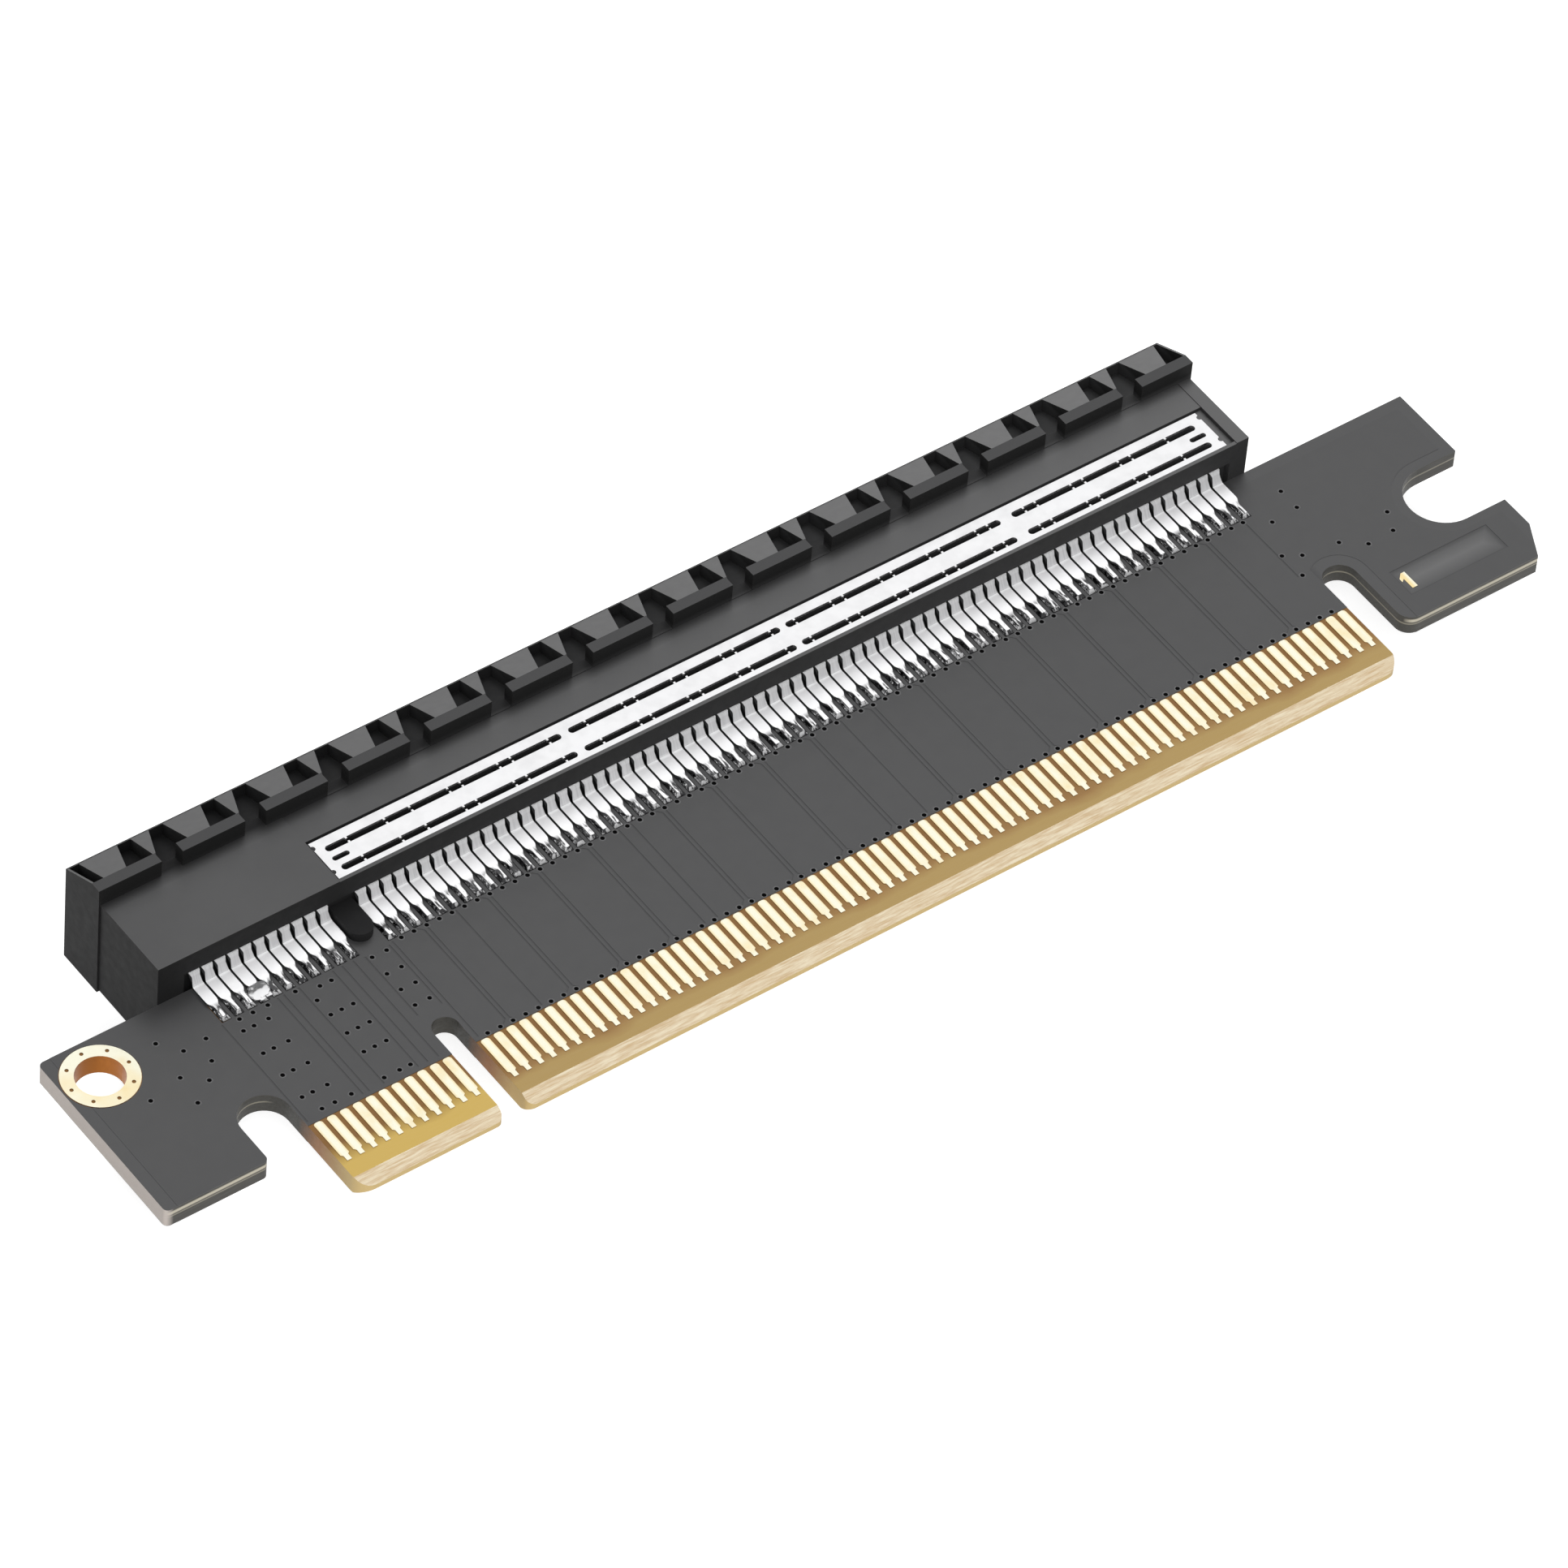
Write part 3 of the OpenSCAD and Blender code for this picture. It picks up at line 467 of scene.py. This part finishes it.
def contact_tones(s, tone):
    """A contact's tail: painted shade, greyer where steep and dark at its sides and at its foot's edges,
    and painted reflection streaked over its foot.
    """
    lines = s.ramp(s.noise(1, 2, stretch=(9000, 300, 300)), 0.75, 1.0, 0.35, 0.65)
    # Painted shade: greyer where the tail is steep
    steep_shade = s.fall(s.facing("Z"), 0.6, 0.9)
    tone = s.mix(s.math("MULTIPLY", steep_shade, lines), tone, TIN_STEEP_SHADE)
    wetted = s.fall(s.axis("Y"), *span(FOOT_TOP, LAND_LOW))
    # Painted reflection in dark streaks over the wetted foot, and painted shade at its edges
    reflection_streak = s.rise(s.noise(1, stretch=(4200, 900, 1500)), 0.48, 0.58)
    rim = s.rise(s.from_pin(), *FOOT_SHADE_SIDE)
    foot = s.math("MULTIPLY", wetted, s.most(reflection_streak, rim))
    # Painted shade on the tails' sides
    side = s.rise(s.facing("X"), 0.5, 0.8)
    return s.mix(s.most(foot, side), tone, SOLDER_SHADE)


def tin_material(name, colour, low, high, streaks, metallic=1.0, tones=None):
    """Tin or tin-plated strip with rolling marks along Y and a mottled shine."""
    s = Shader(name)
    dull = tuple(c * TIN_DULLING for c in colour)
    tone = s.mix(s.rise(s.noise(900, 4), 0.4, 0.8), colour, dull)
    s.colour(tones(s, tone) if tones else tone)
    s.roughness(s.mottle(low, high, 1800))
    s.set(Metallic=metallic)
    s.bump(s.noise(streaks, stretch=(1.0, 0.12, 1.0)), 0.16, 0.02)
    return s.material


def solder_material():
    """Reflowed solder: an uneven skin streaked bright and dark as painted reflection, with painted shade
    at the tips and between the feet.
    """
    s = Shader("solder")
    # Painted reflection in dark streaks over the solder, and painted shade at the tips and between the
    # feet
    reflection_streak = s.rise(s.noise(1, 4, stretch=(3600, 1100, 1800), roughness=0.6), 0.44, 0.54)
    tip_shade = s.ramp(s.axis("Y"), 0.75, 0, *span(SOLDER_SHADE_TIP, LAND_LOW))
    between = s.ramp(s.from_pin(), 0, 0.85, *SHADE_BETWEEN_FEET)
    s.colour(s.mix(s.most(reflection_streak, tip_shade, between), TIN, SOLDER_SHADE))
    s.roughness(s.mottle(0.14, 0.30, 2500))
    s.set(Metallic=1.0)
    s.bump(s.noise(2600), 0.8, 0.12)
    return s.material


def laminate_face(s, x, y, along):
    """Bare faces: amber below the fingers, brown between them, and dark under the mask."""
    low, high = (corner.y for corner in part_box("edge_fingers_front"))
    fade = s.rise(along, *(low * share for share in STRIP_FADE))
    strip = s.mix(s.rise(x, *span(KEY_X)), AMBER_SHORT, s.mix(fade, AMBER_PALE, AMBER_LONG))
    between = s.mix(s.rise(along, *span(GAP_FADE, low / MM)), strip, GAP_BROWN)
    under_mask = s.mix(s.rise(x, *span(EAR_FADE, HOLE_EAR[1])), GAP_BROWN, RESIN_DARK)
    return s.mix(s.rise(y, *span(UNDER_MASK, high / MM)), between, under_mask)


def laminate_edge(s, x, y, z, along):
    """Edges: amber to brown to dark up the tab's sides, and sawn elsewhere, with a pale line and a
    painted cream highlight on the forward edges.
    """
    tab = s.mix(s.rise(along, *span(BROWN_Y)), EDGE_AMBER, EDGE_BROWN)
    tab = s.mix(s.rise(along, *span(DARK_Y)), tab, EDGE_DARK)
    sawn = s.mix(s.near(z, LINE_Z, LINE_REACH), EDGE_DARK, EDGE_LINE)
    # Painted highlight: a cream band on edges that face forward, low on the card
    forward = s.fall(s.axis("Y", normal=True), -0.9, -0.5)
    forward = s.math("MULTIPLY", forward, s.fall(y, *span(CREAM_HIGHLIGHT_Y)))
    cream_highlight = s.math("MULTIPLY", forward, s.near(z, CREAM_HIGHLIGHT_Z, CREAM_HIGHLIGHT_REACH))
    sawn = s.mix(cream_highlight, sawn, EDGE_CREAM_HIGHLIGHT)
    sawn = s.mix(s.fall(x, *span(PALE_END, HOLE_EAR[0])), sawn, EDGE_PALE)
    return s.mix(s.rise(s.off_tab(x), *span(SAWN_FROM)), tab, sawn)


def laminate_material():
    """Board laminate: amber resin on the bare faces, fibre ends on the bevel, sawn edges elsewhere."""
    s = Shader("laminate")
    x, y, z = (s.axis(letter) for letter in "XYZ")
    along = s.math("ADD", y, s.mottle(-0.5 * MM, 0.5 * MM, 180))
    grain = s.noise(6500, 5, stretch=(0.07, 1.0, 1.0), roughness=0.7)
    fibre = s.mix(s.rise(grain, 0.38, 0.62), FIBRE, FIBRE_PALE)
    up = s.facing("Z")
    bevel = s.mix(s.rise(up, 0.20, 0.35), laminate_edge(s, x, y, z, along), fibre)
    s.colour(s.mix(s.rise(up, 0.90, 0.97), bevel, laminate_face(s, x, y, along)))
    s.roughness(s.ramp(grain, 0.38, 0.62, *NOISE_SPAN))
    s.set(Specular_IOR_Level=0.45)
    s.bump(grain, 0.25, 0.04)
    return s.material


def via_shade_material():
    """A via's bore, painted near-black as the shade down its hole."""
    s = Shader("via_bore")
    s.colour(s.mix(s.noise(3000, 2), VIA_SHADE_DARK, VIA_SHADE_PALE))
    s.set(Roughness=0.9, Specular_IOR_Level=0.0)
    return s.material


def rim_highlight_material():
    """Mask over the ring of copper round a via, paler as a painted highlight."""
    s = Shader("via_rim")
    s.colour(s.mix(s.noise(2500, 2), MASK_RIM_HIGHLIGHT, MASK_LIGHT))
    s.set(Roughness=0.35)
    return s.material


# The solids

def finish(node, material, bevel=0.0):
    """Gives a CAD node its material and, by modifiers alone, softly rounded edges."""
    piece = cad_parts[node]
    piece.data.materials.clear()
    piece.data.materials.append(material)
    if bevel:
        weld = piece.modifiers.new("weld", "WELD")
        weld.merge_threshold = WELD_GAP
        flat = piece.modifiers.new("flat", "DECIMATE")
        flat.decimate_type = "DISSOLVE"
        flat.angle_limit = math.radians(FLAT_ANGLE)
        round_off = piece.modifiers.new("round_off", "BEVEL")
        round_off.width = bevel * MM
        round_off.segments = ROUND_SEGMENTS
        round_off.limit_method = "ANGLE"
        round_off.angle_limit = math.radians(EDGE_ANGLE)
        round_off.harden_normals = False
        round_off.use_clamp_overlap = True


def dress_frame():
    """Materials of all the CAD nodes, and the details that the solids don't carry."""
    mask = mask_material()
    gold = gold_material()
    tin = tin_material("contact_tin", TIN, 0.32, 0.46, 2400, metallic=0.15, tones=contact_tones)
    plate = tin_material("plate_tin", STEEL, 0.30, 0.42, 1500)
    solder = solder_material()
    finish("circuit_board", laminate_material())
    finish("barrel_plating", barrel_material())
    finish("slot_housing", plastic_material(), bevel=0.05)
    finish("ground_plate", plate, bevel=0.03)
    for side in ("front", "back"):
        finish("solder_mask_" + side, mask)
        finish("edge_fingers_" + side, gold, bevel=0.035)
        finish("contact_lands_" + side, solder)
        finish("solder_joints_" + side, solder, bevel=0.06)
    for row in ("upper_short", "upper_long", "lower_short", "lower_long"):
        finish("contacts_" + row, tin, bevel=0.03)
    make_vias()
    make_numeral(gold)
    make_bridge(plate)


# Details that the solids don't carry

def place_piece(name, mesh):
    """Adds a mesh to the part: it rides on the one body."""
    piece = bpy.data.objects.new(name, mesh)
    bpy.context.scene.collection.objects.link(piece)
    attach(piece, "root")
    return piece


def add_piece(name, verts, faces, material, slot, bevel=0.0):
    """A new piece of the part, made from points and faces."""
    mesh = bpy.data.meshes.new(name)
    mesh.from_pydata(verts, [], faces)
    mesh.materials.append(material)
    work = bmesh.new()
    work.from_mesh(mesh)
    bmesh.ops.remove_doubles(work, verts=work.verts, dist=POINT_GAP)
    bmesh.ops.recalc_face_normals(work, faces=work.faces)
    work.to_mesh(mesh)
    work.free()
    piece = place_piece(name, mesh)
    if bevel:
        round_off = piece.modifiers.new("round_off", "BEVEL")
        round_off.width = bevel * MM
        round_off.segments = ROUND_SEGMENTS


def via_places():
    """Places of the vias in the plane of the board."""
    places = [(FIRST_LONG + (i + 0.5) * PITCH, y) for i in range(LONG_PINS - 1) for y in VIA_ROWS]
    for columns, rows in VIA_GROUPS:
        places += [(FIRST_SHORT + column * PITCH, FINGER_TOP + row * (LAND_LOW - FINGER_TOP))
                   for column in columns for row in rows]
    for ear, shares in ((HOLE_EAR, HOLE_EAR_VIAS), (HOOK_EAR, HOOK_EAR_VIAS)):
        places += [(ear[0] + sx * (ear[1] - ear[0]), sy * BOARD_HEIGHT) for sx, sy in shares]
    return places


def turned(places, profile, side):
    """Closed rings or cups: a profile of (radius, height) turned about each place."""
    verts, faces = [], []
    n = len(profile)
    for x, y in places:
        start = len(verts)
        for k in range(VIA_SEGMENTS):
            angle = 2 * math.pi * k / VIA_SEGMENTS
            verts += [mm(x + r * math.cos(angle), y + r * math.sin(angle), side * z) for r, z in profile]
        for k in range(VIA_SEGMENTS):
            a, b = start + k * n, start + (k + 1) % VIA_SEGMENTS * n
            for i in range(n):
                j = (i + 1) % n
                faces.append((a + i, b + i, b + j, a + j))
    return verts, faces


def make_vias():
    """A cup painted near-black as the shade of the hole in each opening of the mask, and a low rim of
    mask round it, its paler tone a painted highlight.
    """
    bore_shade, rim_highlight = via_shade_material(), rim_highlight_material()
    places = via_places()
    for side, where in ((1, "front"), (-1, "back")):
        add_piece("via_bores_" + where, *turned(places, VIA_CUP, side), bore_shade, "solder_mask")
        add_piece("via_rims_" + where, *turned(places, VIA_RIM, side), rim_highlight, "solder_mask")


def make_numeral(gold):
    """The plain index number on the hook, as plated copper."""
    n = len(NUMERAL_ONE)
    verts = [mm(x, y, z) for z in NUMERAL_Z for x, y in NUMERAL_ONE]
    faces = [tuple(range(n)), tuple(range(n, 2 * n))]
    faces += [(i, (i + 1) % n, n + (i + 1) % n, n + i) for i in range(n)]
    add_piece("index_number", verts, faces, gold, "gold", bevel=NUMERAL_ROUNDING)


def make_bridge(bright):
    """The lump of solder that joins the feet of two neighbouring contacts."""
    work = bmesh.new()
    bmesh.ops.create_icosphere(work, subdivisions=BRIDGE_DETAIL, radius=1.0)
    for vert in work.verts:
        swell = 1 + sum(depth * noise.noise(vert.co * fine) for depth, fine in BRIDGE_SWELLS)
        x, y, z = (c + r * swell * v for c, r, v in zip(BRIDGE_AT, BRIDGE_SIZE, vert.co))
        vert.co = mm(x, y, max(z, HALF_BOARD))
    mesh = bpy.data.meshes.new("solder_bridge")
    work.to_mesh(mesh)
    work.free()
    for face in mesh.polygons:
        face.use_smooth = True
    mesh.materials.append(bright)
    place_piece("solder_bridge", mesh)


# Stage

def make_camera():
    data = bpy.data.cameras.new("camera")
    data.sensor_width = SENSOR
    data.lens = CAMERA_LENS
    data.clip_start, data.clip_end = CAMERA_RANGE
    camera = bpy.data.objects.new("camera", data)
    bpy.context.scene.collection.objects.link(camera)
    camera.location = CAMERA_AT * MM
    camera.rotation_mode = "QUATERNION"
    look = (CAMERA_AIM - CAMERA_AT).to_track_quat("-Z", "Y")
    camera.rotation_quaternion = look @ Quaternion((0, 0, 1), CAMERA_ROLL)
    bpy.context.scene.camera = camera


def make_lamp(name, at, size, watts):
    data = bpy.data.lights.new(name, "AREA")
    data.shape = "SQUARE"
    data.size = size * MM
    data.energy = watts
    lamp = bpy.data.objects.new(name, data)
    lamp.visible_glossy = False
    bpy.context.scene.collection.objects.link(lamp)
    lamp.location = (CAMERA_AIM + Vector(at)) * MM
    lamp.rotation_mode = "QUATERNION"
    lamp.rotation_quaternion = (-Vector(at)).to_track_quat("-Z", "Y")


def seen_directly(tree):
    """One for rays from the camera, reflections and clear refractions, and nought otherwise."""
    path = tree.nodes.new("ShaderNodeLightPath")
    total = path.outputs["Is Camera Ray"]
    for ray in ("Is Glossy Ray", "Is Transmission Ray"):
        node = tree.nodes.new("ShaderNodeMath")
        node.operation = "MAXIMUM"
        tree.links.new(total, node.inputs[0])
        tree.links.new(path.outputs[ray], node.inputs[1])
        total = node.outputs["Value"]
    return total


def make_world():
    """A sky that is white to look at, and lights the part at a low level."""
    world = bpy.data.worlds.new("studio")
    bpy.context.scene.world = world
    world.use_nodes = True
    tree = world.node_tree
    background = tree.nodes["Background"]
    background.inputs["Color"].default_value = (1, 1, 1, 1)
    level = tree.nodes.new("ShaderNodeMapRange")
    level.inputs["To Min"].default_value = SKY_LEVEL
    level.inputs["To Max"].default_value = 1.0
    tree.links.new(seen_directly(tree), level.inputs["Value"])
    tree.links.new(level.outputs["Result"], background.inputs["Strength"])


def make_floor():
    """A pale floor that reads as white, and still takes the part's shadow."""
    material = bpy.data.materials.new("studio_floor")
    material.use_nodes = True
    tree = material.node_tree
    bsdf = tree.nodes["Principled BSDF"]
    bsdf.inputs["Base Color"].default_value = (FLOOR_GREY,) * 3 + (1,)
    bsdf.inputs["Roughness"].default_value = 0.9
    bsdf.inputs["Specular IOR Level"].default_value = 0.0
    bsdf.inputs["Emission Color"].default_value = (1, 1, 1, 1)
    glow = tree.nodes.new("ShaderNodeMath")
    glow.operation = "MULTIPLY"
    tree.links.new(seen_directly(tree), glow.inputs[0])
    glow.inputs[1].default_value = FLOOR_GLOW
    tree.links.new(glow.outputs["Value"], bsdf.inputs["Emission Strength"])
    low = CAD_BOX[0].z
    half = FLOOR_SIZE * MM / 2
    mesh = bpy.data.meshes.new("floor")
    corners = [(-half, -half, low), (half, -half, low), (half, half, low), (-half, half, low)]
    mesh.from_pydata(corners, [], [(0, 1, 2, 3)])
    mesh.materials.append(material)
    floor = bpy.data.objects.new("floor", mesh)
    bpy.context.scene.collection.objects.link(floor)


make_camera()
for lamp in (SOFTBOX, FRONT_FILL):
    make_lamp(**lamp)
make_world()
make_floor()
bpy.context.scene.view_settings.view_transform = "Standard"
dress_frame()
